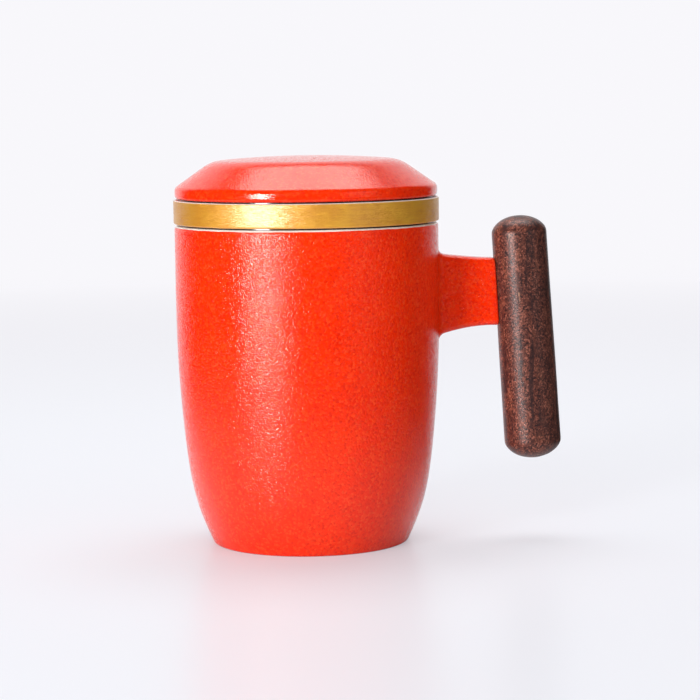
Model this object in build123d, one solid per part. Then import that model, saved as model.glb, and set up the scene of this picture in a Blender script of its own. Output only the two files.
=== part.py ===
from build123d import *
import math
import os

# A three-part ceramic tea mug: a mug with a wooden grip on a ceramic arm, a ceramic infuser that hangs in
# the mug by its gilded collar, and a lid that sits on the collar. All sizes are in millimetres.
# Frame: +Z up, +X from the mug towards its grip, origin on the mug's axis at the plane that it stands on.

# Mug body, from the foot up. An inset is how far the outside of the wall lies in from the lip there.
RIM_R = 43.0             # outside of the wall at the lip
MUG_H = 104.6            # top of the lip, which the infuser's collar rests on
FOOT_INSET = 11.9        # inset of the outer edge of the flat ring that the mug stands on
FOOT_RING_W = 3.2        # width of that ring
FOOT_RECESS = 2.0        # height of the recess inside the ring
FOOT_RECESS_ROUND = 0.6  # rounding of the ring's inner edge and of the recess's corner
FOOT_EDGE_R = 1.3        # rounding of the ring's outer edge
FOOT_LEAN = 25.0         # degrees that the wall leans outwards where it leaves the foot
HEEL_INSET = 6.2
HEEL_Z = 12.0
FLANK_INSET = 2.5
FLANK_Z = 32.0
BELLY_INSET = 0.15
BELLY_DROP = 38.6        # from the lip down to the belly
WALL = 3.6
FLOOR = 5.0              # ceramic between the recess and the inside of the mug
HEEL_LEAN = 20.0         # degrees that the inside of the wall leans where it leaves the floor's corner
LIP_EDGE_R = 1.2         # rounding of the lip, outside
LIP_INNER_R = 0.9        # rounding of the lip, inside

# Arm, between the mug's wall and the grip.
ARM_DROP = 23.9          # from the lip down to the arm's middle, which is also its tenon's
ARM_ROOT_H = 27.6        # height where it meets the mug
ARM_END_H = 23.6         # height where it meets the grip
ARM_TOP_HOLLOW = 0.75    # how far its top edge curves in from a straight line
ARM_BOTTOM_HOLLOW = 2.45 # the same for its bottom edge
ARM_ROOT_DROP = 0.2      # how much lower its middle is at the mug
ARM_ROOT_T = 9.0         # thickness where it meets the mug
ARM_END_T = 6.6          # thickness where it meets the grip
ARM_EDGE_R = 1.8         # rounding of its long edges
TENON_H = 16.0
TENON_T = 4.0
TENON_DEPTH = 10.5       # how far the tenon reaches into the grip
GLUE = 0.3               # thickness of the adhesive all round the tenon

# Wooden grip, turned about an axis that leans outwards towards its lower end.
FINGER_GAP = 18.65       # clear width between the mug and the grip, at the arm
GRIP_LEN = 80.0
GRIP_TOP_R = 8.97
GRIP_END_R = 9.27        # radius at the lower end
GRIP_RISE = 25.4         # height of the grip's upper end above the arm's middle
GRIP_TILT = 3.39         # degrees from upright
TOP_DOME_H = 5.0
END_DOME_H = 5.3
DOME_TURN = 12.0         # degrees of the dome's ellipse left out at its edge, which leaves a soft crease
CREASE_R = 1.0           # rounding of that crease

# Infuser: a collar on the mug's lip, a shelf inwards, and a tapered cup with drain holes.
COLLAR_H = 8.6
COLLAR_T = 3.4           # ceramic behind the gold band
SHELF_T = 3.0
BASKET_GAP = 0.9         # clearance round the cup, just below the lip
BASKET_DEPTH = 63.0      # from the lip down to the underside of the cup
BASKET_WALL = 2.8
BASKET_FLOOR = 3.2
BASKET_TAPER = 6.0       # degrees
BASKET_CORNER_R = 7.0    # outside rounding of the cup's bottom corner
COLLAR_ROUND = 0.5       # small roundings of the collar and shelf
DRAIN_R = 1.1            # radius of each drain hole
DRAIN_PITCH = 7.0        # spacing of the rings of holes in the floor, and of the rows in the wall
DRAIN_RINGS = 3          # rings of holes round the one at the centre
DRAIN_FIRST_RING = 6     # holes in the first ring; each further ring has as many more
DRAIN_ROWS = 2           # rows of holes in the wall
DRAIN_ROW_HOLES = 24

# Gold band round the collar.
BAND_PROUD = 0.25        # how far the band stands out beyond the mug's lip
BAND_T = 1.6
BAND_BOND = 0.05         # gap between the band and the collar
BAND_INSET = 0.12        # how far the band stops short of the collar's two end faces
BAND_BOTTOM_R = 1.4      # rounding of its lower outer edge
BAND_TOP_R = 0.5         # rounding of its upper outer edge

# Lid: an upright edge, a bevel and a low crown, with a locating ring under it.
LID_SETBACK = 0.5        # how far the lid's edge stands in from the band
LID_EDGE_H = 3.5         # from the collar's top to the bevel
LID_BEVEL_RUN = 12.0
LID_BEVEL_RISE = 8.4
LID_CROWN = 1.45         # rise of the crown's middle above its edge
LID_WALL = 3.8
LID_LOWER_ROUND = 1.4    # rounding of the lid's lower edge
LID_EDGE_ROUND = 2.2     # rounding between the upright edge and the bevel
LID_SHOULDER_ROUND = 10.0
RING_GAP = 0.5           # clearance between the locating ring and the collar
RING_T = 3.0
RING_DEPTH = 4.0
RING_ROUND = 0.8         # rounding of the locating ring's lower edges

# Sizes that follow from the ones above.
FOOT_R = RIM_R - FOOT_INSET
HEEL_R = RIM_R - HEEL_INSET
FLANK_R = RIM_R - FLANK_INSET
BELLY_R = RIM_R - BELLY_INSET
BELLY_Z = MUG_H - BELLY_DROP
ARM_Z = MUG_H - ARM_DROP
INNER_RIM_R = RIM_R - WALL
BAND_R = RIM_R + BAND_PROUD
BAND_BORE_R = BAND_R - BAND_T
CORE_R = BAND_BORE_R - BAND_BOND
COLLAR_BORE_R = CORE_R - COLLAR_T
LID_SEAT_Z = MUG_H + COLLAR_H
BASKET_TOP_R = INNER_RIM_R - BASKET_GAP
BASKET_Z = MUG_H - BASKET_DEPTH
GRIP_AXIS_X = BELLY_R + FINGER_GAP + (GRIP_TOP_R + GRIP_END_R) / 2


def lathe(*lines):
    """The solid that a closed outline in (radius, height) makes when it is turned about the Z axis."""
    away_from_grip = Plane((0, 0, 0), x_dir=(-1, 0, 0), z_dir=(0, 1, 0))
    return revolve(away_from_grip * make_face(lines), Axis.Z)


def leaning(start, radius, lean):
    """Arc that leaves start level and turns up until it leans outwards by lean degrees from upright."""
    across, up = math.cos(math.radians(lean)), math.sin(math.radians(lean))
    half = math.radians(90 - lean) / 2
    middle = (start[0] + radius * math.sin(half), start[1] + radius * (1 - math.cos(half)))
    end = (start[0] + radius * across, start[1] + radius * (1 - up))
    return ThreePointArc(start, middle, end)


def crown(radius, edge_z, rise):
    """Shallow arc from the axis, where it is level, down to its edge."""
    curve_r = (radius**2 + rise**2) / (2 * rise)
    middle = (radius / 2, edge_z + rise - curve_r + math.sqrt(curve_r**2 - radius**2 / 4))
    return ThreePointArc((0, edge_z + rise), middle, (radius, edge_z))


def lean_vector(lean):
    """Direction that leans outwards by lean degrees from upright."""
    return (math.sin(math.radians(lean)), math.cos(math.radians(lean)))


def mug_body():
    """Mug with its cavity and foot ring. The outline runs up the outside, over the lip and down inside."""
    foot = leaning((FOOT_R, 0), FOOT_EDGE_R, FOOT_LEAN)
    outside = Spline(
        foot @ 1,
        (HEEL_R, HEEL_Z),
        (FLANK_R, FLANK_Z),
        (BELLY_R, BELLY_Z),
        (RIM_R, MUG_H - LIP_EDGE_R),
        tangents=[lean_vector(FOOT_LEAN), (0, 1)],
    )
    lip = Polyline((RIM_R - LIP_EDGE_R, MUG_H), (INNER_RIM_R + LIP_INNER_R, MUG_H))
    lip_outside = RadiusArc(outside @ 1, lip @ 0, -LIP_EDGE_R)
    inside = Spline(
        (INNER_RIM_R, MUG_H - LIP_INNER_R),
        (BELLY_R - WALL, BELLY_Z),
        (FLANK_R - WALL, FLANK_Z),
        (HEEL_R - WALL, HEEL_Z),
        tangents=[(0, -1), (-lean_vector(HEEL_LEAN)[0], -lean_vector(HEEL_LEAN)[1])],
    )
    lip_inside = RadiusArc(lip @ 1, inside @ 0, -LIP_INNER_R)
    floor_z = FOOT_RECESS + FLOOR
    corner_r = (HEEL_Z - floor_z) / (1 - math.sin(math.radians(HEEL_LEAN)))
    corner_x = HEEL_R - WALL - corner_r * math.cos(math.radians(HEEL_LEAN))
    corner = leaning((corner_x, floor_z), corner_r, HEEL_LEAN)
    recess_r = FOOT_R - FOOT_RING_W
    below = FilletPolyline(
        (0, FOOT_RECESS),
        (recess_r, FOOT_RECESS),
        (recess_r, 0),
        (FOOT_R, 0),
        radius=[FOOT_RECESS_ROUND, FOOT_RECESS_ROUND],
    )
    middle = Polyline((corner_x, floor_z), (0, floor_z), (0, FOOT_RECESS))
    return lathe(foot, outside, lip_outside, lip, lip_inside, inside, corner, middle, below)


def dome(radius, height, edge_z, up):
    """Domed end from the axis out to its edge, part of an ellipse. up is 1 at the top, -1 at the bottom."""
    left_out = math.radians(DOME_TURN)
    middle = (math.pi / 2 + left_out) / 2
    half_w = radius / math.cos(left_out)
    half_h = height / (1 - math.sin(left_out))
    centre_z = edge_z - up * half_h * math.sin(left_out)
    return Spline(
        (0, centre_z + up * half_h),
        (half_w * math.cos(middle), centre_z + up * half_h * math.sin(middle)),
        (radius, edge_z),
        tangents=[(1, 0), (half_w * math.sin(left_out), -up * half_h * math.cos(left_out))],
    )


def grip_blank():
    """The turned grip before its mortise is cut, in its place."""
    top = dome(GRIP_TOP_R, TOP_DOME_H, -TOP_DOME_H, 1)
    end = dome(GRIP_END_R, END_DOME_H, END_DOME_H - GRIP_LEN, -1)
    stick = lathe(top, Line(top @ 1, end @ 1), end, Line(end @ 0, top @ 0))
    stick = fillet(stick.edges().filter_by(GeomType.CIRCLE), CREASE_R)
    top_x = GRIP_AXIS_X - GRIP_RISE * math.tan(math.radians(GRIP_TILT))
    return Pos(top_x, 0, ARM_Z + GRIP_RISE) * Rot(0, -GRIP_TILT, 0) * stick


def tenon(extra):
    """Tenon on the arm's end, larger by extra on every side but the arm's."""
    start_x = BELLY_R + FINGER_GAP / 2
    end_x = BELLY_R + FINGER_GAP + TENON_DEPTH + extra
    block = Box(end_x - start_x, TENON_T + 2 * extra, TENON_H + 2 * extra)
    return Pos((start_x + end_x) / 2, 0, ARM_Z) * block


def arm_blank():
    """Arm between two upright cuts, one inside the mug's wall and one inside the grip."""
    x0, x1 = BELLY_R - WALL / 2, GRIP_AXIS_X
    root_z = ARM_Z - ARM_ROOT_DROP
    mid_x = (x0 + x1) / 2
    top = ThreePointArc(
        (x0, root_z + ARM_ROOT_H / 2),
        (mid_x, (root_z + ARM_Z) / 2 + (ARM_ROOT_H + ARM_END_H) / 4 - ARM_TOP_HOLLOW),
        (x1, ARM_Z + ARM_END_H / 2),
    )
    bottom = ThreePointArc(
        (x0, root_z - ARM_ROOT_H / 2),
        (mid_x, (root_z + ARM_Z) / 2 - (ARM_ROOT_H + ARM_END_H) / 4 + ARM_BOTTOM_HOLLOW),
        (x1, ARM_Z - ARM_END_H / 2),
    )
    side_view = make_face([top, bottom, Line(top @ 0, bottom @ 0), Line(top @ 1, bottom @ 1)])
    web = extrude(Plane.XZ * side_view, ARM_ROOT_T, both=True)
    plan = Polyline(
        (x0, -ARM_ROOT_T / 2), (x1, -ARM_END_T / 2), (x1, ARM_END_T / 2), (x0, ARM_ROOT_T / 2), close=True
    )
    web = web & extrude(make_face(plan), 2 * MUG_H)
    long_edges = [e for e in web.edges() if x0 + 1 < e.center().X < x1 - 1]
    return fillet(long_edges, min(ARM_EDGE_R, 0.45 * ARM_END_T))


def handle_arm(body, blank):
    """Arm luted to the mug's wall, hollowed to sit round the grip, with the tenon that enters it."""
    return arm_blank() - body - blank + (tenon(0) & (blank + arm_blank()))


def wood_grip(blank):
    """Grip with the mortise for the tenon and its adhesive."""
    return blank - tenon(GLUE)


def grip_adhesive(blank):
    """Cured adhesive that fills the mortise round the tenon."""
    return (tenon(GLUE) & blank) - tenon(0)


def infuser_basket():
    """Infuser: collar, shelf and cup in one, with drain holes in the cup's floor and lower wall."""
    slope = math.tan(math.radians(BASKET_TAPER))
    bottom_r = BASKET_TOP_R - BASKET_DEPTH * slope
    shelf_z = MUG_H + SHELF_T
    inner_top_r = BASKET_TOP_R - BASKET_WALL
    floor_z = BASKET_Z + BASKET_FLOOR
    inner_bottom_r = inner_top_r - (shelf_z - floor_z) * slope
    outline = FilletPolyline(
        (0, BASKET_Z),
        (bottom_r, BASKET_Z),
        (BASKET_TOP_R, MUG_H),
        (CORE_R, MUG_H),
        (CORE_R, LID_SEAT_Z),
        (COLLAR_BORE_R, LID_SEAT_Z),
        (COLLAR_BORE_R, shelf_z),
        (inner_top_r, shelf_z),
        (inner_bottom_r, floor_z),
        (0, floor_z),
        radius=[
            BASKET_CORNER_R,
            COLLAR_ROUND,
            COLLAR_ROUND / 5,
            COLLAR_ROUND / 5,
            COLLAR_ROUND,
            COLLAR_ROUND,
            COLLAR_ROUND,
            BASKET_CORNER_R - BASKET_WALL,
        ],
    )
    cup = lathe(outline, Line((0, floor_z), (0, BASKET_Z)))
    return cup - floor_drains() - wall_drains()


def floor_drains():
    """Upright drills for the holes in the cup's floor: one at the centre and rings round it."""
    drill = Pos(0, 0, BASKET_Z + BASKET_FLOOR / 2) * Cylinder(DRAIN_R, 2 * BASKET_FLOOR)
    drills = [drill]
    for ring in range(1, DRAIN_RINGS + 1):
        for place in PolarLocations(ring * DRAIN_PITCH, ring * DRAIN_FIRST_RING):
            drills.append(place * drill)
    return drills


def wall_drains():
    """Level drills for the holes in the cup's lower wall, in rows that are staggered."""
    drill = Pos(BASKET_TOP_R, 0, 0) * Rot(0, 90, 0) * Cylinder(DRAIN_R, BASKET_TOP_R)
    drills = []
    for row in range(DRAIN_ROWS):
        z = BASKET_Z + BASKET_CORNER_R + DRAIN_R + (row + 0.5) * DRAIN_PITCH
        for hole in range(DRAIN_ROW_HOLES):
            turn = 360 * (hole + row / 2) / DRAIN_ROW_HOLES
            drills.append(Pos(0, 0, z) * Rot(0, 0, turn) * drill)
    return drills


def gold_band():
    """Band round the collar, with a rolled lower edge and a finer upper edge."""
    low, high = MUG_H + BAND_INSET, LID_SEAT_Z - BAND_INSET
    section = FilletPolyline(
        (BAND_BORE_R, low),
        (BAND_R, low),
        (BAND_R, high),
        (BAND_BORE_R, high),
        radius=[min(BAND_BOTTOM_R, 0.9 * BAND_T), min(BAND_TOP_R, 0.9 * BAND_T)],
    )
    return lathe(section, Line(section @ 1, section @ 0))


def lid():
    """Lid: edge, bevel and crown outside; hollow inside, with a ring that locates it in the collar."""
    edge_r = BAND_R - LID_SETBACK
    shoulder_r = edge_r - LID_BEVEL_RUN
    edge_z = LID_SEAT_Z + LID_EDGE_H
    shoulder_z = edge_z + LID_BEVEL_RISE
    ring_r = COLLAR_BORE_R - RING_GAP
    ring_bore_r = ring_r - RING_T
    ring_z = LID_SEAT_Z - RING_DEPTH
    bevel = math.atan2(LID_BEVEL_RISE, LID_BEVEL_RUN)
    inner_shoulder_r = shoulder_r - LID_WALL * math.tan(bevel / 2)
    inner_shoulder_z = shoulder_z - LID_WALL
    bevel_end_z = inner_shoulder_z - (ring_bore_r - inner_shoulder_r) * math.tan(bevel)
    outline = FilletPolyline(
        (inner_shoulder_r, inner_shoulder_z),
        (ring_bore_r, bevel_end_z),
        (ring_bore_r, ring_z),
        (ring_r, ring_z),
        (ring_r, LID_SEAT_Z),
        (edge_r, LID_SEAT_Z),
        (edge_r, edge_z),
        (shoulder_r, shoulder_z),
        radius=[LID_WALL, RING_ROUND, RING_ROUND, RING_ROUND, LID_LOWER_ROUND, LID_EDGE_ROUND],
    )
    top = crown(shoulder_r, shoulder_z, LID_CROWN)
    under = crown(inner_shoulder_r, inner_shoulder_z, LID_CROWN)
    solid = lathe(under, outline, top, Line(top @ 0, under @ 0))
    shoulder = [
        e for e in solid.edges().filter_by(GeomType.CIRCLE)
        if abs(e.radius - shoulder_r) < 0.01 and abs(e.center().Z - shoulder_z) < 0.01
    ]
    return fillet(shoulder, LID_SHOULDER_ROUND)


body = mug_body()
blank = grip_blank()
pieces = {
    "mug_body": body,
    "handle_arm": handle_arm(body, blank),
    "wood_grip": wood_grip(blank),
    "grip_adhesive": grip_adhesive(blank),
    "infuser_basket": infuser_basket(),
    "gold_band": gold_band(),
    "lid": lid(),
}
os.makedirs("parts", exist_ok=True)
for name, piece in pieces.items():
    export_step(piece, f"parts/{name}.step")
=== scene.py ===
import math

import bpy
import numpy as np
from mathutils import Matrix, Vector, noise

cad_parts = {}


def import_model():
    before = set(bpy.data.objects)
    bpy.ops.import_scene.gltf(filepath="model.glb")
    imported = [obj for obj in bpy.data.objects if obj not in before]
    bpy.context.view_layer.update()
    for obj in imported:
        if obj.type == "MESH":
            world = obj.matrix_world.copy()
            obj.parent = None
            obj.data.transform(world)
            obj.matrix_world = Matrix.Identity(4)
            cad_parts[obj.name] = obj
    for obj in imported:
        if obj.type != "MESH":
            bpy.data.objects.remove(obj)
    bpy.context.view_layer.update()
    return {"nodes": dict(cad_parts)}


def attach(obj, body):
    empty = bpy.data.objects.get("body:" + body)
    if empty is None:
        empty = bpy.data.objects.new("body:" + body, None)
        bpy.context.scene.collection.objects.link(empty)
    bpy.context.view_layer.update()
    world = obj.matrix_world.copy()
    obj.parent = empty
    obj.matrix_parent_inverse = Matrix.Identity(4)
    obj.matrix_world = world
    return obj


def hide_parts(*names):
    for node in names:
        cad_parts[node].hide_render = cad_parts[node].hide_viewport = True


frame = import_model()

# Outlines and sizes are in millimetres, in the row frame; MM turns them into metres when a mesh is made.
MM = 0.001

# Mug. Radii and heights as in the part's source.
RIM_R = 43.0
MUG_H = 104.6
FOOT_R = 31.1
FOOT_RING_W = 3.2
FOOT_RECESS = 2.0
FOOT_RECESS_ROUND = 0.6
FOOT_EDGE_R = 1.3
FOOT_LEAN = 25.0
HEEL = (36.8, 12.0)
FLANK = (40.5, 32.0)
BELLY = (42.85, 66.0)
WALL = 3.6
FLOOR_Z = 7.0
HEEL_LEAN = 20.0
LIP_EDGE_R = 1.2
LIP_INNER_R = 0.9
LIP_BARE = 0.45          # height of the lip's white edge, above the red

# Arm and grip.
ARM_Z = 80.7
ARM_ROOT_Z = 80.5
ARM_ROOT_H = 27.6
ARM_END_H = 23.6
ARM_TOP_HOLLOW = 0.75
ARM_BOTTOM_HOLLOW = 2.45
ARM_ROOT_T = 9.0
ARM_END_T = 6.6
ARM_EDGE_R = 1.8
ARM_BEAD_R = 1.7         # glaze fillet between the arm and the wall
ARM_END_ROLL = 1.0       # how far the arm's end rolls in where it meets the grip
TENON_H = 16.0
TENON_T = 4.0
TENON_DEPTH = 10.5
TENON_START = 0.35       # where the tenon leaves the arm's end, past the finger gap
TENON_EDGE_R = 0.4
GLUE = 0.3
FINGER_GAP = 18.65
GRIP_LEN = 80.0
GRIP_TOP_R = 8.97
GRIP_END_R = 9.27
GRIP_RISE = 25.4
GRIP_TILT = 3.39
TOP_DOME_H = 5.0
END_DOME_H = 5.3
DOME_TURN = 12.0
CREASE_R = 0.7
GRIP_AXIS_X = BELLY[0] + FINGER_GAP + (GRIP_TOP_R + GRIP_END_R) / 2
GRIP_TOP = (GRIP_AXIS_X - GRIP_RISE * math.tan(math.radians(GRIP_TILT)), 0.0, ARM_Z + GRIP_RISE)

# Gold band and lid.
BAND_R = 43.25
BAND_T = 1.6
BAND_LOW = 105.10
BAND_HIGH = 112.80
BAND_BOTTOM_R = 0.5
BAND_TOP_R = 0.4
BAND_BARE = 0.14         # height of the collar's white edge, above the gilding
LID_SEAT_Z = 113.2
LID_R = 42.75
LID_EDGE_Z = 116.7
LID_SHOULDER = (30.75, 125.1)
LID_CROWN = 1.45
LID_WALL = 3.8
LID_LOWER_ROUND = 1.1
LID_EDGE_ROUND = 1.9
LID_SOFT = 3.0           # how far the crease between crown and bevel is softened
BEVEL_END = (3.0, 2.1)   # last point of the bevel, in from the lid's edge and above it
RING_R = 37.7
RING_T = 3.0
RING_DEPTH = 4.0
RING_ROUND = 0.8

# Spacing of the mesh on glazed surfaces and elsewhere, and how many faces go round the mug and the grip.
FINE = 0.68
COARSE = 2.8
ROUND_FACES = 400
GRIP_FACES = 96

# Distances from the wall of the arm's rings of points in its bead of glaze, and the turns, in degrees, of
# those in its rolled end.
BEAD_RINGS = (-0.3, 0.02, 0.10, 0.22, 0.38, 0.58, 0.82, 1.10, 1.40, 1.75)
ROLL_RINGS = (20, 40, 55, 70, 80)

# Height and size of the glaze's larger pebbles, and of the slow swell of a hand-dipped wall.
PEBBLE_HEIGHT = 0.004
PEBBLE_SIZE = 1.5
SWELL_HEIGHT = 0.035
SWELL_SIZE = 14.0

# That relief fades out over these heights below the lip and above the foot. On the arm and the lid it
# starts so far from the wall and from the seat, and comes in over so much.
LIP_FADE = 1.6
FOOT_FADE = 2.5
ARM_FADE = (0.2, 1.5)
LID_FADE = (0.5, 1.5)

# Points less than this under the outside of the mug, the band and the lid count as on it.
MUG_SKIN = 0.5
BAND_SKIN = 0.3
LID_SKIN = 0.6

# Height and size of the unevenness of the turned wood, drawn out along the grip, and of the gilding.
WOOD_WAVES = ((0.10, 9.0), (0.03, 2.2))
BAND_WAVES = ((0.012, 0.8), (0.03, 12.0))

# Camera, fitted to the mug's perspective in the photograph: place in metres, lens, and turns in degrees.
CAMERA_AT = (0.0, -0.820, 0.14937)
CAMERA_LENS = 129.2
CAMERA_YAW = 0.952
CAMERA_PITCH = 6.035
CAMERA_ROLL = -0.816


# ---------------------------------------------------------------- outlines

def arc(centre, radius, start, end, step):
    """Points along an arc about centre, from the angle start to the angle end, in degrees."""
    count = max(4, round(abs(math.radians(end - start)) * radius / step))
    turn = np.radians(np.linspace(start, end, count + 1))
    return np.stack([centre[0] + radius * np.cos(turn), centre[1] + radius * np.sin(turn)], 1)


def line(a, b, step):
    """Points along the straight line from a to b."""
    a, b = np.array(a, float), np.array(b, float)
    count = max(1, round(np.linalg.norm(b - a) / step))
    return a + np.linspace(0, 1, count + 1)[:, None] * (b - a)


def lean_vector(lean):
    """Direction in (radius, height) that leans outwards from straight up by lean degrees."""
    return np.array([math.sin(math.radians(lean)), math.cos(math.radians(lean))])


def spline(points, start_way, end_way, step):
    """Smooth curve through points, with a given direction at each end: a clamped cubic spline."""
    p = np.array(points, float)
    t = np.concatenate([[0], np.cumsum(np.linalg.norm(np.diff(p, axis=0), axis=1))])
    h = np.diff(t)
    n = len(p)
    a, rhs = np.zeros((n, n)), np.zeros((n, 2))
    a[0, 0] = a[-1, -1] = 1
    rhs[0], rhs[-1] = start_way, end_way
    for i in range(1, n - 1):
        a[i, i - 1:i + 2] = h[i], 2 * (h[i - 1] + h[i]), h[i - 1]
        rhs[i] = 3 * (h[i] * (p[i] - p[i - 1]) / h[i - 1] + h[i - 1] * (p[i + 1] - p[i]) / h[i])
    slope = np.linalg.solve(a, rhs)
    spans = []
    for i in range(n - 1):
        u = np.linspace(0, 1, max(2, round(h[i] / step)) + 1)[:, None]
        spans.append(
            (1 + 2 * u) * (1 - u) ** 2 * p[i] + u * (1 - u) ** 2 * h[i] * slope[i]
            + u * u * (3 - 2 * u) * p[i + 1] + u * u * (u - 1) * h[i] * slope[i + 1]
        )
    return joined(*spans)


def rounded(points, radii, step):
    """Points along a polyline whose inner corners are rounded by radii."""
    p = [np.array(q, float) for q in points]
    parts, last = [], p[0]
    for before, corner, after, radius in zip(p, p[1:], p[2:], radii):
        a, b = before - corner, after - corner
        a, b = a / np.linalg.norm(a), b / np.linalg.norm(b)
        half = math.acos(float(np.clip(a @ b, -1, 1))) / 2
        reach = radius / math.tan(half)
        start, end = corner + a * reach, corner + b * reach
        middle = corner + (a + b) / np.linalg.norm(a + b) * radius / math.sin(half)
        t0 = math.degrees(math.atan2(*(start - middle)[::-1]))
        t1 = math.degrees(math.atan2(*(end - middle)[::-1]))
        t1 -= 360 * round((t1 - t0) / 360)
        parts += [line(last, start, step), arc(middle, radius, t0, t1, step)]
        last = end
    return joined(*parts, line(last, p[-1], step))


def crown(radius, edge_z, rise, step):
    """Shallow arc from the axis out to its edge."""
    curve_r = (radius**2 + rise**2) / (2 * rise)
    edge = math.degrees(math.asin(radius / curve_r))
    return arc((0, edge_z + rise - curve_r), curve_r, 90, 90 - edge, step)


def joined(*parts):
    """Outline parts, one after the other, without repeated points."""
    points = [parts[0]]
    for part in parts[1:]:
        same = np.linalg.norm(part[0] - points[-1][-1]) < 1e-6
        points.append(part[1:] if same else part)
    return np.concatenate(points)


# ---------------------------------------------------------------- meshes

def new_piece(name, verts, faces, uvs, materials, material_of):
    """Mesh object from points in millimetres, lists of corners, a place on the map for each corner and a
    material for each face."""
    mesh = bpy.data.meshes.new(name)
    mesh.from_pydata((np.asarray(verts) * MM).tolist(), [], faces)
    layer = mesh.uv_layers.new(name="UVMap")
    layer.data.foreach_set("uv", np.asarray(uvs, np.float32).ravel())
    for material in materials:
        mesh.materials.append(material)
    mesh.polygons.foreach_set("material_index", np.asarray(material_of, np.int32))
    mesh.polygons.foreach_set("use_smooth", np.ones(len(mesh.polygons), bool))
    mesh.validate()
    mesh.update()
    piece = bpy.data.objects.new(name, mesh)
    bpy.context.scene.collection.objects.link(piece)
    return piece


def lathe(outline, segments):
    """Points, faces, map places and the outline's span of each face, for an outline in (radius, height)
    turned about the Z axis. Points on the axis become one point each."""
    rings, verts, count = [], [], 0
    turn = np.linspace(0, 2 * math.pi, segments, endpoint=False)
    for radius, z in outline:
        if radius < 1e-6:
            ring = np.array([[0, 0, z]])
        else:
            ring = np.stack([radius * np.cos(turn), radius * np.sin(turn), np.full(segments, z)], 1)
        rings.append((count, len(ring)))
        verts.append(ring)
        count += len(ring)
    length = np.concatenate([[0], np.cumsum(np.linalg.norm(np.diff(outline, axis=0), axis=1))])
    across = 2 * math.pi * max(outline[:, 0])
    faces, uvs, spans = [], [], []
    for i, ((a, na), (b, nb)) in enumerate(zip(rings, rings[1:])):
        va, vb = length[i] / across, length[i + 1] / across
        for j in range(segments):
            k = (j + 1) % segments
            u0, u1 = j / segments, (j + 1) / segments
            if na == 1:
                faces.append((a, b + k, b + j))
                uvs += [(u0, va), (u1, vb), (u0, vb)]
            elif nb == 1:
                faces.append((a + j, a + k, b))
                uvs += [(u0, va), (u1, va), (u0, vb)]
            else:
                faces.append((a + j, a + k, b + k, b + j))
                uvs += [(u0, va), (u1, va), (u1, vb), (u0, vb)]
            spans.append(i)
    return np.concatenate(verts), faces, uvs, np.array(spans)


def vertex_normals(verts, faces):
    """Unit normals of a mesh's points, from the faces round each."""
    normals = np.zeros_like(verts)
    for size in (3, 4):
        some = np.array([f for f in faces if len(f) == size])
        if len(some):
            across = verts[some[:, 2]] - verts[some[:, 0]]
            other = verts[some[:, -1]] - verts[some[:, 1]]
            face_normal = np.cross(across, other)
            for corner in range(size):
                np.add.at(normals, some[:, corner], face_normal)
    return normals / np.maximum(np.linalg.norm(normals, axis=1), 1e-12)[:, None]


def grain(points, wavelength, seed):
    """Smooth noise, about -1 to 1, at points in millimetres."""
    shift = Vector((seed * 17.3, seed * 5.1, seed * 9.7))
    return np.array([noise.noise(Vector(p) / wavelength + shift) for p in points])


def pebbled(verts, normals, where, seed):
    """The points pushed along their normals as a pebbled glaze is. Where has its share for each, 0 to 1."""
    lift = np.zeros(len(verts))
    on = where > 0
    spots = verts[on]
    lift[on] = (
        PEBBLE_HEIGHT * grain(spots, PEBBLE_SIZE, seed)
        + SWELL_HEIGHT * grain(spots, SWELL_SIZE, seed + 1)
    ) * where[on]
    return verts + normals * lift[:, None]


# ---------------------------------------------------------------- materials

# Sizes and distances are in metres here unless a comment says otherwise, and colours are linear.

# The finest pebbles of the red glaze: their size, the least and the most that a dome's surface tips over
# its own length, and how far each may be tipped as a whole.
PEBBLE_CELL = 0.00070
DOME_TILT = (0.20, 0.38)
PEBBLE_TILT = 0.05

# The grit on the pebbles: its size, and how much its surface tips over its own length.
GRIT_CELL = 0.00045
GRIT_TILT = 0.24

# Roughness of the glossiest and of the dullest pebbles.
PEBBLE_GLOSS = (0.04, 0.22)

# Share of the pebbles' depth on the lid: near its lower edge, and above that.
LID_CALM = (0.32, 0.43)
LID_CALM_HEIGHTS = (0.1155, 0.1175)

# Faintly warm colour of the glaze's reflections where it is seen face on.
GLAZE_SHEEN = (1.0, 0.97, 0.87)

# Red glaze where it lies thick and thin, its darkest pebbles, and pale pink pebbles that partly stand in
# for glints: painted highlights.
RED_THICK = (0.79, 0.020, 0.0004)
RED_THIN = (0.84, 0.027, 0.0008)
RED_FLECK = (0.60, 0.008, 0.0010)
RED_GLINT = (0.86, 0.070, 0.012)

# White glaze inside, the white edges of the lip and above the gilding, and the dark painted shade on the
# collar's outside, which shows as shadow in the gaps beside the gilded band.
PORCELAIN = (0.88, 0.87, 0.84)
LIP_WHITE = (0.86, 0.84, 0.81)
BAND_WHITE = (0.86, 0.83, 0.78)
GAP_SHADE = (0.035, 0.028, 0.025)

# Streaks and strokes of the gilding: their size across, and how much of their pattern goes to a radian of
# the band, which draws them out along it. Then how far a stroke is tipped at most along X, Y and Z.
STREAK_SIZE = 0.00060
STREAK_RADIAN = 0.0035
STROKE_SIZE = 0.00006
STROKE_RADIAN = 0.0030
STROKE_TILT = (0.15, 0.15, 0.05)

# Painted shade on the band's left side: the gilding's colour darkens towards -X. Where that is full and
# ends, along X.
GILT_SIDE_SHADE = (-0.040, 0.016)

# Painted shade on the grip's right side, away from the key: where the darkening starts and is full, across
# the grip from its axis, in millimetres.
GRIP_SIDE_SHADE = (-3.0, 6.0)


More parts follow.
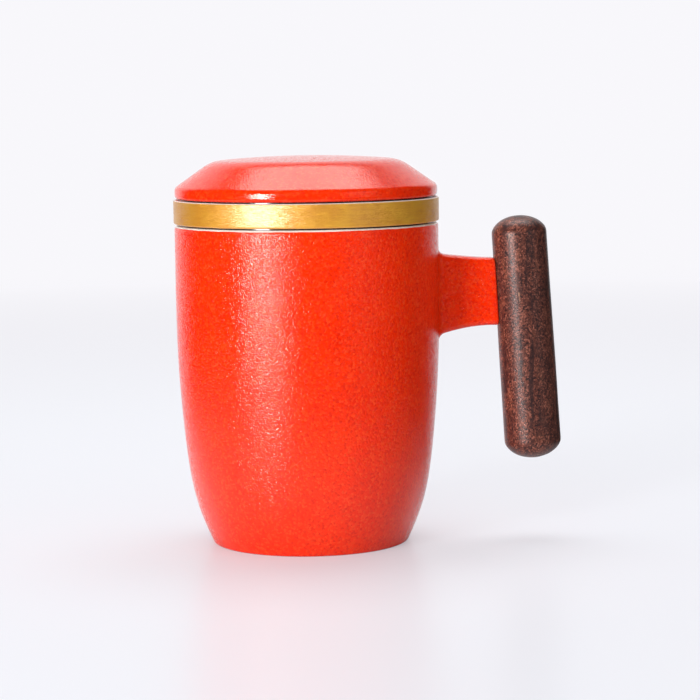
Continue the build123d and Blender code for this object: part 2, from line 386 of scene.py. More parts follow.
class Shader:
    """The nodes of a material or of the world, with short ways to add to them."""

    def __init__(self, owner):
        owner.use_nodes = True
        self.owner = owner
        self.tree = owner.node_tree
        self.bsdf = self.tree.nodes.get("Principled BSDF")
        self.coordinates = self.node("ShaderNodeTexCoord").outputs
        self.place = self.coordinates["Object"]

    def node(self, kind, **settings):
        made = self.tree.nodes.new(kind)
        for key, value in settings.items():
            setattr(made, key, value)
        return made

    def link(self, value, socket):
        """Joins a node's output to socket, or sets socket to a number or colour."""
        if isinstance(value, bpy.types.NodeSocket):
            self.tree.links.new(value, socket)
        else:
            socket.default_value = value

    def noise(self, size, detail=2.0, roughness=0.5, place=None, distortion=0.0):
        """Noise, 0 to 1, with features of about size metres."""
        made = self.node("ShaderNodeTexNoise")
        self.link(place or self.place, made.inputs["Vector"])
        self.link(1 / size, made.inputs["Scale"])
        self.link(detail, made.inputs["Detail"])
        self.link(roughness, made.inputs["Roughness"])
        self.link(distortion, made.inputs["Distortion"])
        return made.outputs["Fac"]

    def cells(self, size, place=None):
        """Cells of about size metres side by side. Gives the way from the middle of each, in cell sizes,
        and a colour that each cell has for itself, with three even random values, 0 to 1."""
        made = self.node("ShaderNodeTexVoronoi")
        self.link(place or self.place, made.inputs["Vector"])
        self.link(1 / size, made.inputs["Scale"])
        way = self.vector("SUBTRACT", place or self.place, made.outputs["Position"])
        return self.vector("SCALE", way, 1 / size), made.outputs["Color"]

    def vector(self, operation, a, b=None):
        """A vector operation on a and b, or on a alone. With SCALE, b is a number."""
        made = self.node("ShaderNodeVectorMath", operation=operation)
        self.link(a, made.inputs[0])
        if b is not None:
            self.link(b, made.inputs["Scale" if operation == "SCALE" else 1])
        return made.outputs["Value" if operation == "LENGTH" else "Vector"]

    def parts(self, value):
        """The three numbers in a colour or vector."""
        made = self.node("ShaderNodeSeparateXYZ")
        self.link(value, made.inputs[0])
        return made.outputs[:3]

    def tipped(self, normal, *tips):
        """The normal, tipped by the vectors tips."""
        for tip in tips:
            normal = self.vector("ADD", normal, tip)
        return self.vector("NORMALIZE", normal)

    def random_tip(self, chance, tilt):
        """A vector of up to tilt along X, Y and Z, as chance, a random colour, says."""
        even = self.vector("SUBTRACT", chance, (0.5, 0.5, 0.5))
        return self.vector("MULTIPLY", even, tuple(2 * t for t in tilt))

    def math(self, operation, *values):
        made = self.node("ShaderNodeMath", operation=operation)
        for value, socket in zip(values, made.inputs):
            self.link(value, socket)
        return made.outputs[0]

    def ramp(self, value, *stops):
        """Colour ramp with stops (position, colour)."""
        made = self.node("ShaderNodeValToRGB")
        elements = made.color_ramp.elements
        for element, (position, colour) in zip(elements, stops[:2]):
            element.position = position
            element.color = (*colour, 1)
        for position, colour in stops[2:]:
            elements.new(position).color = (*colour, 1)
        self.link(value, made.inputs["Fac"])
        return made.outputs["Color"]

    def span(self, value, low, high, to_low, to_high):
        """Maps low..high to to_low..to_high, held at both ends."""
        made = self.node("ShaderNodeMapRange", clamp=True)
        for number, socket in zip((value, low, high, to_low, to_high), made.inputs):
            self.link(number, socket)
        return made.outputs["Result"]

    def mix(self, share, a, b):
        made = self.node("ShaderNodeMix", data_type="RGBA")
        self.link(share, made.inputs["Factor"])
        self.link(a if isinstance(a, bpy.types.NodeSocket) else (*a, 1), made.inputs["A"])
        self.link(b if isinstance(b, bpy.types.NodeSocket) else (*b, 1), made.inputs["B"])
        return made.outputs["Result"]

    def bump(self, height, depth, below=None):
        """Normal bent by height, 0 to 1, that stands depth metres."""
        made = self.node("ShaderNodeBump")
        self.link(1.0, made.inputs["Strength"])
        self.link(depth, made.inputs["Distance"])
        self.link(height, made.inputs["Height"])
        if below is not None:
            self.link(below, made.inputs["Normal"])
        return made.outputs["Normal"]

    def set(self, **values):
        """Sets the surface's inputs, by names with _ for a space."""
        for key, value in values.items():
            if isinstance(value, tuple):
                value = (*value, 1)
            self.link(value, self.bsdf.inputs[key.replace("_", " ")])
        return self.owner

    def stretched(self, scale, turn=(0, 0, 0)):
        """Object place, turned by turn degrees about X, Y and Z and then scaled."""
        made = self.node("ShaderNodeMapping", vector_type="POINT")
        self.link(self.place, made.inputs["Vector"])
        made.inputs["Rotation"].default_value = [math.radians(t) for t in turn]
        made.inputs["Scale"].default_value = scale
        return made.outputs["Vector"]


def new_shader(name):
    """The nodes of a new material."""
    return Shader(bpy.data.materials.new(name))


def pebbled_normal(s, way, chance, share):
    """Fine pebbles of a thick satin glaze: small domes, each tipped a little its own way, with grit on
    them. Share flattens them all."""
    depth = s.span(s.parts(chance)[0], 0.0, 1.0, *DOME_TILT)
    dome = s.vector("SCALE", way, s.math("MULTIPLY", share, depth))
    lean = s.vector("SCALE", s.random_tip(chance, (PEBBLE_TILT,) * 3), share)
    grit = s.vector("SCALE", s.cells(GRIT_CELL)[0], s.math("MULTIPLY", share, GRIT_TILT))
    flat = s.node("ShaderNodeNewGeometry").outputs["Normal"]
    return s.tipped(flat, dome, lean, grit)


def red_glaze(name, lip_z=None, calm=False):
    """Satin red glaze. With lip_z, it ends just under a white lip at that height. With calm, its pebbles
    are shallow, as on the lid."""
    s = new_shader(name)
    height = s.parts(s.place)[2]
    cloud = s.noise(0.012, detail=3.0)
    way, chance = s.cells(PEBBLE_CELL)
    gloss, fleck, glint = s.parts(chance)
    colour = s.ramp(cloud, (0.3, RED_THICK), (0.7, RED_THIN))
    colour = s.mix(s.span(fleck, 0.0, 0.4, 0.60, 0.0), colour, RED_FLECK)
    # Partly painted highlight: pale pink cells scattered all over stand in for the glints of pebbles.
    colour = s.mix(s.span(glint, 0.6, 1.0, 0.0, 0.50), colour, RED_GLINT)
    rough = s.span(gloss, 0.2, 1.0, *PEBBLE_GLOSS)
    if lip_z is not None:
        wave = s.span(s.noise(0.006), 0.3, 0.7, -0.00008, 0.00008)
        level = s.math("ADD", height, wave)
        white = s.span(level, lip_z - 0.00010, lip_z, 0.0, 1.0)
        colour = s.mix(white, colour, LIP_WHITE)
    share = s.span(height, *LID_CALM_HEIGHTS, *LID_CALM) if calm else 1.0
    return s.set(
        Base_Color=colour, Roughness=rough, IOR=1.5, Specular_Tint=GLAZE_SHEEN,
        Normal=pebbled_normal(s, way, chance, share),
    )


def white_glaze(name, shade_from=None):
    """Glossy porcelain glaze with a faint unevenness. Past the radius shade_from it is painted dark, a
    painted shade for the gaps beside the gilded band.
    """
    s = new_shader(name)
    cloud = s.noise(0.02, detail=3.0)
    colour = s.mix(s.span(cloud, 0.3, 0.7, 0.0, 1.0), PORCELAIN, tuple(0.96 * c for c in PORCELAIN))
    if shade_from is not None:
        radius = s.vector("LENGTH", s.vector("MULTIPLY", s.place, (1, 1, 0)))
        shaded = s.span(radius, shade_from - 0.0001, shade_from, 0.0, 1.0)
        # Painted shade: past shade_from the colour goes dark, as the gaps beside the gilded band look in
        # shadow.
        colour = s.mix(shaded, colour, GAP_SHADE)
    rough = s.span(s.noise(0.01, detail=2.0), 0.3, 0.7, 0.10, 0.18)
    return s.set(
        Base_Color=colour, Roughness=rough, IOR=1.5,
        Normal=s.bump(s.noise(0.004, detail=2.0), 0.00006),
    )


def bisque():
    """Bare fired clay under the foot."""
    s = new_shader("foot_bisque")
    speck = s.noise(0.0006, detail=2.0)
    colour = s.ramp(speck, (0.3, (0.62, 0.56, 0.49)), (0.6, (0.80, 0.76, 0.70)))
    return s.set(
        Base_Color=colour, Roughness=s.span(speck, 0.3, 0.7, 0.75, 0.9),
        Normal=s.bump(s.noise(0.0005, detail=3.0), 0.00008),
    )


def unrolled(s, length):
    """Place on the band, laid out flat with length metres to a radian, so that patterns run along it."""
    x, y, z = s.parts(s.place)
    flat = s.node("ShaderNodeCombineXYZ")
    s.link(s.math("MULTIPLY", s.math("ARCTAN2", y, x), length), flat.inputs["X"])
    s.link(z, flat.inputs["Y"])
    return flat.outputs[0]


def gold():
    """Brushed-on gilding: fine streaks round the band, worn a little thinner in places."""
    s = new_shader("gilding")
    x, _, z = s.parts(s.place)
    streak = s.noise(STREAK_SIZE, detail=3.0, roughness=0.6, place=unrolled(s, STREAK_RADIAN))
    cloud = s.noise(0.005, detail=3.0)
    tone = s.math("ADD", s.math("MULTIPLY", streak, 0.45), s.math("MULTIPLY", cloud, 0.55))
    colour = s.ramp(
        tone, (0.36, (0.84, 0.34, 0.003)), (0.50, (0.92, 0.43, 0.007)), (0.64, (0.97, 0.50, 0.015))
    )
    # Painted shade: the band's colour darkens towards its left side.
    colour = s.mix(s.span(x, *GILT_SIDE_SHADE, 0.55, 0.0), colour, (0.62, 0.23, 0.001))
    chance = s.cells(STROKE_SIZE, unrolled(s, STROKE_RADIAN))[1]
    gilt_top = (BAND_HIGH - BAND_BARE) * MM
    white = s.span(z, gilt_top - 0.12 * MM, gilt_top, 0.0, 1.0)
    colour = s.mix(white, colour, BAND_WHITE)
    rough = s.span(streak, 0.3, 0.7, 0.52, 0.64)
    metal = s.math("MULTIPLY", s.math("SUBTRACT", 1.0, white), 0.50)
    bare = s.bump(streak, 0.00003, below=s.bump(s.noise(0.003), 0.00004))
    stroke = s.tipped(bare, s.random_tip(chance, STROKE_TILT))
    return s.set(
        Base_Color=colour, Metallic=metal, Roughness=rough, Normal=stroke,
        Coat_Weight=1.0, Coat_Roughness=0.37, Coat_IOR=1.95, Coat_Normal=stroke,
    )


def wood():
    """Dark rosewood, oiled: fine pores all over, cloudy figure and dark streaks along the grip."""
    s = new_shader("rosewood")
    turn = (0, GRIP_TILT, 0)
    chance = s.parts(s.cells(0.00038, s.stretched((1, 1, 0.8), turn))[1])[0]
    fine = s.noise(0.00050, detail=2.0, roughness=0.6, place=s.stretched((1, 1, 0.7), turn))
    pores = s.math("ADD", s.math("MULTIPLY", chance, 0.70), s.math("MULTIPLY", fine, 0.30))
    cloud = s.noise(0.0034, detail=3.0, roughness=0.6, place=s.stretched((1, 1, 0.45), turn))
    along = s.stretched((1, 1, 0.10), (6, GRIP_TILT - 8, 0))
    streak = s.noise(0.0022, detail=3.0, roughness=0.55, place=along, distortion=0.3)
    knot = s.noise(0.0026, detail=2.0, place=s.stretched((1, 1, 0.5), turn))
    colour = s.ramp(
        pores, (0.18, (0.008, 0.004, 0.006)), (0.42, (0.095, 0.025, 0.017)), (0.66, (0.170, 0.045, 0.027)),
        (0.88, (0.390, 0.130, 0.085)),
    )
    colour = s.mix(s.span(cloud, 0.35, 0.62, 0.55, 0.0), colour, (0.060, 0.022, 0.018))
    colour = s.mix(s.span(cloud, 0.55, 0.75, 0.0, 0.45), colour, (0.270, 0.090, 0.050))
    colour = s.mix(s.span(streak, 0.36, 0.46, 0.75, 0.0), colour, (0.026, 0.012, 0.013))
    colour = s.mix(s.span(knot, 0.72, 0.76, 0.0, 0.7), colour, (0.36, 0.17, 0.10))
    across = s.parts(s.stretched((1, 1, 1), turn))[0]
    tilt = math.radians(GRIP_TILT)
    axis = GRIP_AXIS_X * math.cos(tilt) + ARM_Z * math.sin(tilt)
    start, end = ((axis + x) * MM for x in GRIP_SIDE_SHADE)
    # Painted shade: the grip's colour darkens towards its right side.
    shade_side = s.span(across, start, end, 0.0, 0.40)
    colour = s.mix(shade_side, colour, (0.018, 0.009, 0.009))
    rough = s.span(fine, 0.3, 0.7, 0.32, 0.42)
    return s.set(Base_Color=colour, Roughness=rough, IOR=1.42, Normal=s.bump(fine, 0.00005))


def epoxy():
    """Cured clear-amber adhesive."""
    s = new_shader("epoxy_glue")
    cloud = s.noise(0.002, detail=2.0)
    colour = s.ramp(cloud, (0.3, (0.42, 0.30, 0.14)), (0.7, (0.55, 0.42, 0.22)))
    return s.set(
        Base_Color=colour, Roughness=s.span(cloud, 0.3, 0.7, 0.2, 0.35), IOR=1.55,
        Normal=s.bump(cloud, 0.00005),
    )


# ---------------------------------------------------------------- pieces

def wall_outline(step):
    """Outside of the mug's wall, from the foot's edge to the start of the lip."""
    foot = arc((FOOT_R, FOOT_EDGE_R), FOOT_EDGE_R, -90, -FOOT_LEAN, step / 2)
    wall = spline(
        [foot[-1], HEEL, FLANK, BELLY, (RIM_R, MUG_H - LIP_EDGE_R)], lean_vector(FOOT_LEAN), (0, 1), step
    )
    return foot, wall


def wall_radius(z):
    """Radius of the outside of the wall at heights z."""
    wall = wall_outline(0.5)[1]
    return np.interp(z, wall[:, 1], wall[:, 0])


def mug_piece():
    """Body of the mug: red outside, white lip and inside, bare clay under the foot."""
    inner_rim = RIM_R - WALL
    foot, wall = wall_outline(FINE)
    lip = arc((RIM_R - LIP_EDGE_R, MUG_H - LIP_EDGE_R), LIP_EDGE_R, 0, 90, 0.15)
    over = line(lip[-1], (inner_rim + LIP_INNER_R, MUG_H), 0.5)
    lip_in = arc((inner_rim + LIP_INNER_R, MUG_H - LIP_INNER_R), LIP_INNER_R, 90, 180, 0.3)
    lean = lean_vector(HEEL_LEAN)
    inside = spline(
        [lip_in[-1], (BELLY[0] - WALL, BELLY[1]), (FLANK[0] - WALL, FLANK[1]), (HEEL[0] - WALL, HEEL[1])],
        (0, -1), -lean, COARSE,
    )
    corner_r = (HEEL[1] - FLOOR_Z) / (1 - lean[0])
    corner = arc((HEEL[0] - WALL - corner_r * lean[1], FLOOR_Z + corner_r), corner_r, -HEEL_LEAN, -90, 1.0)
    floor = line(corner[-1], (0, FLOOR_Z), COARSE)
    recess = FOOT_R - FOOT_RING_W
    under = rounded(
        [(0, FOOT_RECESS), (recess, FOOT_RECESS), (recess, 0), (FOOT_R, 0)],
        [FOOT_RECESS_ROUND, FOOT_RECESS_ROUND], COARSE,
    )
    red = joined(foot, wall, lip)
    white = joined(lip, over, lip_in, inside, corner, floor)[len(lip):]
    outline = np.concatenate([under[:-1], red, white])
    bare, glazed = len(under) - 1, len(under) - 1 + len(red)
    verts, faces, uvs, spans = lathe(outline, ROUND_FACES)
    z, radius = verts[:, 2], np.linalg.norm(verts[:, :2], axis=1)
    outer = (radius > wall_radius(z) - MUG_SKIN) & (z > 0.4)
    fade = np.clip((MUG_H - z) / LIP_FADE, 0, 1) * np.clip(z / FOOT_FADE, 0, 1)
    verts = pebbled(verts, vertex_normals(verts, faces), outer * fade, seed=1)
    material_of = np.where(spans < bare, 0, np.where(spans < glazed - 1, 1, 2))
    materials = [bisque(), red_glaze("red_glaze", (MUG_H - LIP_BARE) * MM), white_glaze("mug_inside")]
    piece = new_piece("mug", verts, faces, uvs, materials, material_of)
    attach(piece, "mug")
    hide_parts("mug_body")
    return piece


def section(half_t, up, down, edge_r, per_side, per_height, per_corner):
    """Rounded rectangle in (y, z), anticlockwise from the upper end of its +Y side. With the same counts of
    points on its sides, heights and corners, any two of them can be joined point by point."""
    corners = [
        (half_t - edge_r, up - edge_r, 0),
        (-half_t + edge_r, up - edge_r, 90),
        (-half_t + edge_r, -down + edge_r, 180),
        (half_t - edge_r, -down + edge_r, 270),
    ]
    points = []
    for k, (y, z, start) in enumerate(corners):
        turn = np.radians(np.linspace(start, start + 90, per_corner + 1))
        bend = np.stack([y + edge_r * np.cos(turn), z + edge_r * np.sin(turn)], 1)
        next_y, next_z, next_start = corners[(k + 1) % 4]
        angle = math.radians(next_start)
        next_bend = np.array([next_y + edge_r * math.cos(angle), next_z + edge_r * math.sin(angle)])
        count = per_side if k % 2 == 0 else per_height
        between = np.linspace(0, 1, count + 1)[1:-1, None]
        points += [bend, bend[-1] + between * (next_bend - bend[-1])]
    return np.concatenate(points)


def arm_edges(x):
    """Heights of the arm's top and bottom at x, along two shallow arcs, and half its thickness there."""
    x0, x1 = BELLY[0] - WALL / 2, GRIP_AXIS_X
    t = (x - x0) / (x1 - x0)
    bow = 4 * t * (1 - t)
    top = (ARM_ROOT_Z + ARM_ROOT_H / 2) * (1 - t) + (ARM_Z + ARM_END_H / 2) * t - ARM_TOP_HOLLOW * bow
    low = (ARM_ROOT_Z - ARM_ROOT_H / 2) * (1 - t) + (ARM_Z - ARM_END_H / 2) * t + ARM_BOTTOM_HOLLOW * bow
    half_t = (ARM_ROOT_T * (1 - t) + ARM_END_T * t) / 2
    return top, low, half_t


def grip_radius(z):
    """Radius of the tapered grip at heights z."""
    return np.interp(z, [GRIP_TOP[2] - GRIP_LEN, GRIP_TOP[2]], [GRIP_END_R, GRIP_TOP_R])


def arm_piece():
    """Arm: it flares into the wall with a bead of glaze, hugs the grip, and has a tenon inside it."""
    tilt = math.radians(GRIP_TILT)
    run = FINGER_GAP
    rolled = run - ARM_END_ROLL * (1 - np.sin(np.radians(ROLL_RINGS)))
    along = np.concatenate([
        BEAD_RINGS, np.linspace(2.2, run - ARM_END_ROLL, 26), rolled, [run, run + 0.25],
    ])
    counts = dict(per_side=10, per_height=44, per_corner=8)
    rings = []
    for d in along:
        top, low, half_t = arm_edges(BELLY[0] + min(d, run))
        swell = 0.0
        if d < ARM_BEAD_R:
            swell = ARM_BEAD_R - math.sqrt(ARM_BEAD_R**2 - (ARM_BEAD_R - max(d, 0)) ** 2)
        roll = ARM_END_ROLL * (1 - math.sqrt(1 - min(1, max(0, 1 - (run - d) / ARM_END_ROLL)) ** 2))
        middle = (top + low) / 2
        ring = section(
            half_t + swell - roll, top - middle + swell - roll / 4, middle - low + swell - roll / 4,
            ARM_EDGE_R + swell - roll / 2, **counts,
        )
        y, z = ring[:, 0], ring[:, 1] + middle
        wall_x = np.sqrt(wall_radius(z) ** 2 - y**2)
        axis_x = GRIP_TOP[0] + (GRIP_TOP[2] - z) * math.tan(tilt)
        grip_x = axis_x - np.sqrt(grip_radius(z) ** 2 - y**2) / math.cos(tilt)
        share = np.clip((d - ARM_BEAD_R) / (run - ARM_BEAD_R), 0, 1)
        x = BELLY[0] + d + (wall_x - BELLY[0]) * (1 - share) + (grip_x - BELLY[0] - run) * share
        rings.append(np.stack([x, y, z], 1))
    for reach in (TENON_START, TENON_DEPTH):
        ring = section(TENON_T / 2, TENON_H / 2, TENON_H / 2, TENON_EDGE_R, **counts)
        x = np.full(len(ring), BELLY[0] + FINGER_GAP + reach)
        rings.append(np.stack([x, ring[:, 0], ring[:, 1] + ARM_Z], 1))
    n = len(rings[0])
    verts = np.concatenate(rings)
    faces, uvs = [], []
    for i in range(len(rings) - 1):
        for j in range(n):
            k = (j + 1) % n
            faces.append((i * n + j, i * n + k, (i + 1) * n + k, (i + 1) * n + j))
            u0, u1, v0, v1 = j / n, (j + 1) / n, i / 50, (i + 1) / 50
            uvs += [(u0, v0), (u1, v0), (u1, v1), (u0, v1)]
    for i, way in ((0, -1), (len(rings) - 1, 1)):
        centre = len(verts)
        verts = np.concatenate([verts, rings[i].mean(0)[None]])
        for j in range(n):
            a, b = i * n + j, i * n + (j + 1) % n
            faces.append((a, b, centre) if way > 0 else (b, a, centre))
            uvs += [(0, 0), (0.01, 0), (0, 0.01)]
    off_wall = np.clip((verts[:, 0] - BELLY[0] - ARM_FADE[0]) / ARM_FADE[1], 0, 1)
    outer = off_wall * (np.arange(len(verts)) < (len(along) - 1) * n)
    verts = pebbled(verts, vertex_normals(verts, faces), outer, seed=4)
    piece = new_piece("arm", verts, faces, uvs, [red_glaze("arm_glaze")], np.zeros(len(faces)))
    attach(piece, "mug")
    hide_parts("handle_arm")
    return piece


def dome(radius, height, step):
    """Domed end, part of an ellipse, from its edge at height zero to the axis at height."""
    left_out = math.radians(DOME_TURN)
    half_w = radius / math.cos(left_out)
    half_h = height / (1 - math.sin(left_out))
    turn = np.linspace(left_out, math.pi / 2, max(6, round(radius * 1.3 / step)))
    return np.stack([half_w * np.cos(turn), half_h * (np.sin(turn) - math.sin(left_out))], 1)


def soften(outline, radius):
    """Rounds the outline's creases by averaging neighbours over about radius."""
    length = np.concatenate([[0], np.cumsum(np.linalg.norm(np.diff(outline, axis=0), axis=1))])
    result = outline.copy()
    for i, here in enumerate(length):
        reach = min(radius, here, length[-1] - here)
        if reach > 0:
            spots = np.linspace(here - reach, here + reach, 9)
            result[i] = [np.interp(spots, length, outline[:, k]).mean() for k in (0, 1)]
    return result


def grip_piece():
    """Wooden grip, turned, with slightly uneven sides and the mortise for the arm's tenon."""
    step = 0.6
    top = dome(GRIP_TOP_R, TOP_DOME_H, step)[::-1] + (0, -TOP_DOME_H)
    end = dome(GRIP_END_R, END_DOME_H, step) * (1, -1) + (0, END_DOME_H - GRIP_LEN)
    outline = joined(top, line(top[-1], end[0], step), end)[::-1]
    outline = soften(outline, CREASE_R)
    outline[[0, -1], 0] = 0
    verts, faces, uvs, _ = lathe(outline, GRIP_FACES)
    normals = vertex_normals(verts, faces)
    (slow, slow_size), (fine, fine_size) = WOOD_WAVES
    drawn = verts * np.array([1, 1, 0.25])
    sides = slow * grain(drawn, slow_size, 7) + fine * grain(drawn, fine_size, 8)
    verts = verts + normals * sides[:, None]
    lean = Matrix.Rotation(math.radians(-GRIP_TILT), 3, "Y")
    verts = verts @ np.array(lean).T + np.array(GRIP_TOP)
    piece = new_piece("grip", verts, faces, uvs, [wood()], np.zeros(len(faces)))
    cut_mortise(piece)
    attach(piece, "mug")
    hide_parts("wood_grip")
    return piece


def cut_mortise(piece):
    """Cuts the pocket for the tenon and its adhesive out of the grip."""
    start = BELLY[0] + FINGER_GAP / 2
    size = (FINGER_GAP / 2 + TENON_DEPTH + GLUE, TENON_T + 2 * GLUE, TENON_H + 2 * GLUE)
    bpy.ops.mesh.primitive_cube_add(size=1)
    cutter = bpy.context.object
    cutter.data.transform(Matrix.Diagonal((*[s * MM for s in size], 1)))
    cutter.data.transform(Matrix.Translation(Vector((start + size[0] / 2, 0, ARM_Z)) * MM))
    cut = piece.modifiers.new("mortise", "BOOLEAN")
    cut.operation, cut.solver, cut.object = "DIFFERENCE", "EXACT", cutter
    depsgraph = bpy.context.evaluated_depsgraph_get()
    mesh = bpy.data.meshes.new_from_object(piece.evaluated_get(depsgraph))
    piece.modifiers.clear()
    piece.data = mesh
    bpy.data.objects.remove(cutter)


def band_piece():
    """Gilded band round the infuser's collar."""
    in_r = BAND_R - BAND_T
    outline = rounded(
        [(in_r, BAND_LOW), (BAND_R, BAND_LOW), (BAND_R, BAND_HIGH), (in_r, BAND_HIGH), (in_r, BAND_LOW)],
        [BAND_BOTTOM_R, BAND_TOP_R, 0.1], 0.22,
    )
    verts, faces, uvs, _ = lathe(outline, ROUND_FACES)
    radius = np.linalg.norm(verts[:, :2], axis=1)
    turn = np.arctan2(verts[:, 1], verts[:, 0])
    around = np.stack([np.cos(turn) * 6, np.sin(turn) * 6, verts[:, 2]], 1)
    (fine, fine_size), (slow, slow_size) = BAND_WAVES
    wobble = fine * grain(around, fine_size, 12) + slow * grain(verts, slow_size, 13)
    outer = radius > BAND_R - BAND_SKIN
    verts = verts + vertex_normals(verts, faces) * (wobble * outer)[:, None]
    piece = new_piece("band", verts, faces, uvs, [gold()], np.zeros(len(faces)))
    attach(piece, "infuser")
    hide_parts("gold_band")
    return piece


def lid_piece():
    """Lid: red outside, white underneath."""
    shoulder_r, shoulder_z = LID_SHOULDER
    bevel = math.atan2(shoulder_z - LID_EDGE_Z, LID_R - shoulder_r)
    in_r = shoulder_r - LID_WALL * math.tan(bevel / 2)
    in_z = shoulder_z - LID_WALL
    bore_r, ring_z = RING_R - RING_T, LID_SEAT_Z - RING_DEPTH
    bevel_end_z = in_z - (bore_r - in_r) * math.tan(bevel)
    low_bevel = (LID_R - BEVEL_END[0], LID_EDGE_Z + BEVEL_END[1])
    seat = (LID_R - BEVEL_END[0], LID_SEAT_Z)
    crowned = crown(shoulder_r, shoulder_z, LID_CROWN, FINE)
    top = soften(joined(crowned, line(LID_SHOULDER, low_bevel, FINE)), LID_SOFT)
    edge = rounded(
        [low_bevel, (LID_R, LID_EDGE_Z), (LID_R, LID_SEAT_Z), seat], [LID_EDGE_ROUND, LID_LOWER_ROUND], 0.3
    )
    outside = joined(top, edge)
    inside = rounded(
        [seat, (RING_R, LID_SEAT_Z), (RING_R, ring_z), (bore_r, ring_z), (bore_r, bevel_end_z),
         (in_r, in_z), (0, in_z + LID_CROWN)],
        [RING_ROUND] * 4 + [LID_WALL], 1.2,
    )
    outline = joined(outside, inside)[::-1]
    verts, faces, uvs, spans = lathe(outline, ROUND_FACES)
    under = len(outline) - len(outside)
    normals = vertex_normals(verts, faces)
    z, radius = verts[:, 2], np.linalg.norm(verts[:, :2], axis=1)
    top_z = np.interp(radius, outside[:len(top), 0], outside[:len(top), 1])
    off_seat = np.clip((z - LID_SEAT_Z - LID_FADE[0]) / LID_FADE[1], 0, 1)
    outer = np.where(z > top_z - LID_SKIN, 1.0, 0.0) * off_seat
    verts = pebbled(verts, normals, outer, seed=9)
    materials = [white_glaze("lid_underside"), red_glaze("lid_glaze", calm=True)]
    piece = new_piece("lid_cover", verts, faces, uvs, materials, np.where(spans < under, 0, 1))
    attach(piece, "lid")
    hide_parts("lid")
    return piece


def dress_cad_nodes():
    """Materials for the CAD nodes that stay as they are."""
    for node, material in (
        # The collar past this radius is painted dark: painted shade in the gaps above and below the gilded
        # band.
        ("infuser_basket", white_glaze("infuser_white", (BAND_R - BAND_T - 0.1) * MM)),
        ("grip_adhesive", epoxy()),
    ):
        for place in frame["nodes"][node].material_slots:
            place.material = material


# ---------------------------------------------------------------- stage, lights and camera

# Distances are in metres here, angles in degrees and powers in watts, and colours are linear.

# The floor: its radius and its colour in the lamps' light. Then its own paleness near the object and behind
# it, and the places along Y where the first starts to change and where the second is reached.
FLOOR_SIZE = 12.0
FLOOR_LIT = (0.83, 0.865, 0.915)
NEAR_PALE = (0.888, 0.865, 0.922)
FAR_PALE = (0.940, 0.932, 0.966)
PALE_CHANGE = (0.05, 1.2)

# Share of that paleness in what the camera sees of the floor near the object, and the distances from the
# object between which it grows to the whole.
FLOOR_EVEN = 0.42
EVEN_FROM = (0.34, 1.1)

# In reflections the lamps light the floor fully up to the first of these distances, and not at all beyond
# the second. They are taken from a point this far to the left of the mug's axis.
TABLE_FADE = (0.10, 0.25)
TABLE_SHIFT = 0.055

# The pale backdrop in reflections: its edges, as turns to the right of straight behind, and how far each
# blurs to both sides. Then the same for its top, as the sine of the angle above the floor, and its colour.
BACKDROP_LEFT = -44.0
BACKDROP_RIGHT = 37.0
BACKDROP_BLUR = 3.0
BACKDROP_TOP = 0.68
BACKDROP_TOP_BLUR = 0.05
BACKDROP_PALE = (0.96, 0.96, 0.98)

# The rest of the room in reflections, and the even light that the studio gives to matt surfaces.
ROOM = (0.02, 0.02, 0.02)
AMBIENT = (0.41, 0.41, 0.41)

# Lamps. The key is turned this far to the left of straight in front, and its lower edge is KEY_LOW high.
KEY_TURN = 39.0
KEY_AWAY = 1.10
KEY_SIZE = (0.24, 0.26)
KEY_LOW = 0.015
KEY_POWER = 10.2
OVERHEAD_AT = (0.00, 0.26, 0.92)
OVERHEAD_SIZE = (0.72, 0.50)
OVERHEAD_POWER = 3.9
WIDE_AT = (0.14, 0.32, 0.94)
WIDE_SIZE = (0.98, 0.50)
WIDE_POWER = 1.7
BOUNCE_AT = (-0.25, -1.05, 0.55)
BOUNCE_SIZE = (0.50, 0.50)
BOUNCE_POWER = 2.6
FILL_AT = (0.84, -0.80, 0.36)
FILL_SIZE = (0.56, 0.62)
FILL_POWER = 0.85


def backdrop(s, x, y):
    """Share of the pale backdrop in a direction: whole behind the object, none past its two edges."""
    angle = s.math("ARCTAN2", x, y)
    left, right, blur = (math.radians(a) for a in (BACKDROP_LEFT, BACKDROP_RIGHT, BACKDROP_BLUR))
    past_left = s.span(angle, left - blur, left + blur, 0.0, 1.0)
    return s.math("MULTIPLY", past_left, s.span(angle, right - blur, right + blur, 1.0, 0.0))


def floor():
    """Pale floor. What the camera sees of it is partly its own even paleness and partly the lamps' light,
    so it keeps the object's shadow. In reflections it is pale near the object and behind it, where the
    backdrop sweeps up, and dark elsewhere."""
    bpy.ops.mesh.primitive_circle_add(vertices=96, radius=FLOOR_SIZE, fill_type="NGON")
    disc = bpy.context.object
    disc.name = "studio_floor"
    s = new_shader("studio_floor")
    s.set(Base_Color=FLOOR_LIT, Roughness=0.32, IOR=1.35)
    x, y, _ = s.parts(s.place)
    away = s.vector("LENGTH", s.place)
    path = s.node("ShaderNodeLightPath").outputs
    bent = s.math("MAXIMUM", path["Is Glossy Ray"], path["Is Transmission Ray"])
    aside = s.vector("LENGTH", s.vector("ADD", s.place, (TABLE_SHIFT, 0, 0)))
    near = s.span(aside, *TABLE_FADE, 1.0, 0.0)
    dark = s.math("MULTIPLY", bent, s.math("SUBTRACT", 1.0, backdrop(s, x, y)))
    pale = s.mix(s.span(y, *PALE_CHANGE, 0.0, 1.0), NEAR_PALE, FAR_PALE)
    glow = s.node("ShaderNodeEmission")
    s.link(s.mix(dark, pale, ROOM), glow.inputs["Color"])
    even = s.math("MULTIPLY", path["Is Camera Ray"], s.span(away, *EVEN_FROM, FLOOR_EVEN, 1.0))
    share = s.math("MAXIMUM", even, s.math("MULTIPLY", bent, s.math("SUBTRACT", 1.0, near)))
    both = s.node("ShaderNodeMixShader")
    s.link(share, both.inputs[0])
    s.link(s.bsdf.outputs[0], both.inputs[1])
    s.link(glow.outputs[0], both.inputs[2])
    s.link(both.outputs[0], s.tree.nodes["Material Output"].inputs["Surface"])
    disc.data.materials.append(s.owner)


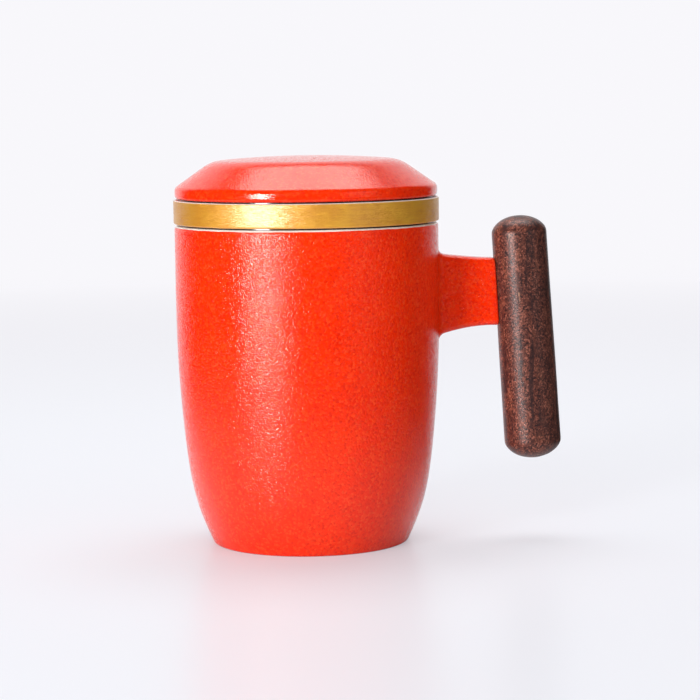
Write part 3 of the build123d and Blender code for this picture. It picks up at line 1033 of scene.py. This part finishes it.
def world():
    """Studio round the object: pale wherever the camera looks. In reflections it is pale behind and dark
    elsewhere, and on matt surfaces it is an even light."""
    studio = bpy.data.worlds.new("studio")
    bpy.context.scene.world = studio
    s = Shader(studio)
    x, y, z = s.parts(s.coordinates["Generated"])
    low = s.span(z, BACKDROP_TOP - BACKDROP_TOP_BLUR, BACKDROP_TOP + BACKDROP_TOP_BLUR, 1.0, 0.0)
    path = s.node("ShaderNodeLightPath").outputs
    room = s.mix(s.math("MULTIPLY", backdrop(s, x, y), low), ROOM, BACKDROP_PALE)
    room = s.mix(path["Is Diffuse Ray"], room, AMBIENT)
    background = s.tree.nodes["Background"]
    s.link(s.mix(path["Is Camera Ray"], room, FAR_PALE), background.inputs["Color"])
    s.link(1.0, background.inputs["Strength"])


def softbox(name, at, aim, size, power):
    """Rectangular lamp at a point, aimed at another."""
    data = bpy.data.lights.new(name, "AREA")
    data.shape = "RECTANGLE"
    data.size, data.size_y = size
    data.energy = power
    lamp = bpy.data.objects.new(name, data)
    lamp.location = at
    lamp.rotation_euler = (Vector(aim) - Vector(at)).to_track_quat("-Z", "Y").to_euler()
    bpy.context.scene.collection.objects.link(lamp)
    return lamp


def lights():
    """A low softbox in front on the left, two overhead, a bounce in front that reflections don't show, and
    a weak fill in front on the right."""
    mug = (0.0, 0.0, 0.07)
    turn = math.radians(KEY_TURN)
    key_at = (-KEY_AWAY * math.sin(turn), -KEY_AWAY * math.cos(turn), KEY_SIZE[1] / 2 + KEY_LOW)
    softbox("key", key_at, (mug[0], mug[1], key_at[2]), KEY_SIZE, KEY_POWER)
    softbox("overhead", OVERHEAD_AT, (OVERHEAD_AT[0], OVERHEAD_AT[1], 0), OVERHEAD_SIZE, OVERHEAD_POWER)
    softbox("overhead_wide", WIDE_AT, (WIDE_AT[0], WIDE_AT[1], 0), WIDE_SIZE, WIDE_POWER)
    bounce = softbox("bounce", BOUNCE_AT, mug, BOUNCE_SIZE, BOUNCE_POWER)
    bounce.visible_glossy = False
    softbox("fill", FILL_AT, (mug[0], mug[1], FILL_AT[2]), FILL_SIZE, FILL_POWER)


def camera():
    """Camera that sees the mug as the photograph does."""
    data = bpy.data.cameras.new("camera")
    data.lens = CAMERA_LENS
    data.sensor_width = 36
    data.clip_start, data.clip_end = 0.01, 60
    eye = bpy.data.objects.new("camera", data)
    turn = Matrix.Rotation(math.radians(-CAMERA_YAW), 3, "Z")
    turn = turn @ Matrix.Rotation(math.radians(90 - CAMERA_PITCH), 3, "X")
    turn = turn @ Matrix.Rotation(math.radians(CAMERA_ROLL), 3, "Z")
    eye.matrix_world = Matrix.LocRotScale(Vector(CAMERA_AT), turn, None)
    bpy.context.scene.collection.objects.link(eye)
    bpy.context.scene.camera = eye


camera()
mug_piece()
arm_piece()
grip_piece()
band_piece()
lid_piece()
dress_cad_nodes()
floor()
world()
lights()
bpy.context.scene.view_settings.view_transform = "Standard"
